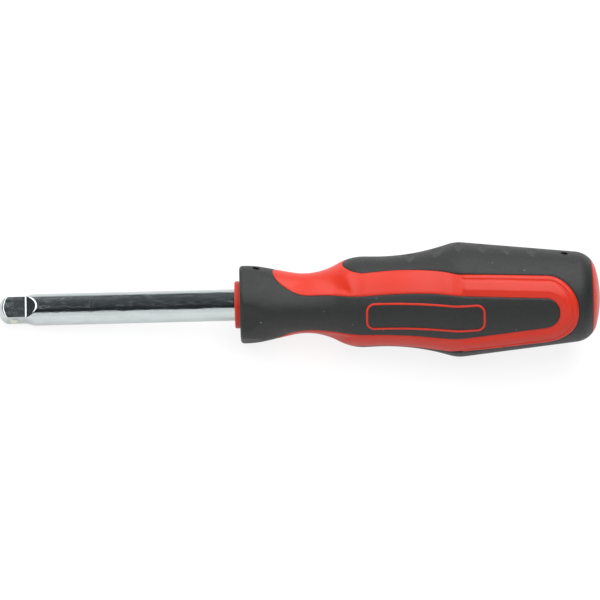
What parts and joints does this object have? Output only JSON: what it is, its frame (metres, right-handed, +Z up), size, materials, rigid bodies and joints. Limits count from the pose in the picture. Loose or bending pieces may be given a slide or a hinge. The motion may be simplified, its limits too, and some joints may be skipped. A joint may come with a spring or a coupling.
{
  "type": "spinner handle",
  "caption": "Spinner handle: chromed shaft with a male square drive and a spring detent ball, moulded into a contoured red and black screwdriver grip.",
  "frame": {"origin": "middle of the square drive's end face", "axes": "+X along the shaft from the drive's end face to the handle's dome; +Z up with one flat of the collar facing straight down; one panel faces -Y, turned 30 degrees up"},
  "size_m": [0.17, 0.0326, 0.0326],
  "materials": {
    "drive_shaft": "bright chrome plate",
    "detent_ball": "polished steel",
    "detent_spring": "drawn wire",
    "handle_core": "satin moulded",
    "hard_shell": "satin moulded",
    "front_grip": "matt, finely grained",
    "rear_grip": "matt, finely grained"
  },
  "bodies": {
    "handle": {"drive_shaft": "drive_shaft", "detent_spring": "detent_spring", "handle_core": "handle_core", "hard_shell": "hard_shell", "front_grip": "front_grip", "rear_grip": "rear_grip"},
    "ball": {"detent_ball": "detent_ball"}
  },
  "joints": [
    {"name": "ball_slide", "type": "slide", "parent": "handle", "child": "ball", "axis": [0, -0.9205, -0.3907], "range_m": [-0.0008, 0], "stiffness_N_per_m": 2000, "springref_m": 0.0008, "deforming": ["detent_spring"]}
  ]
}
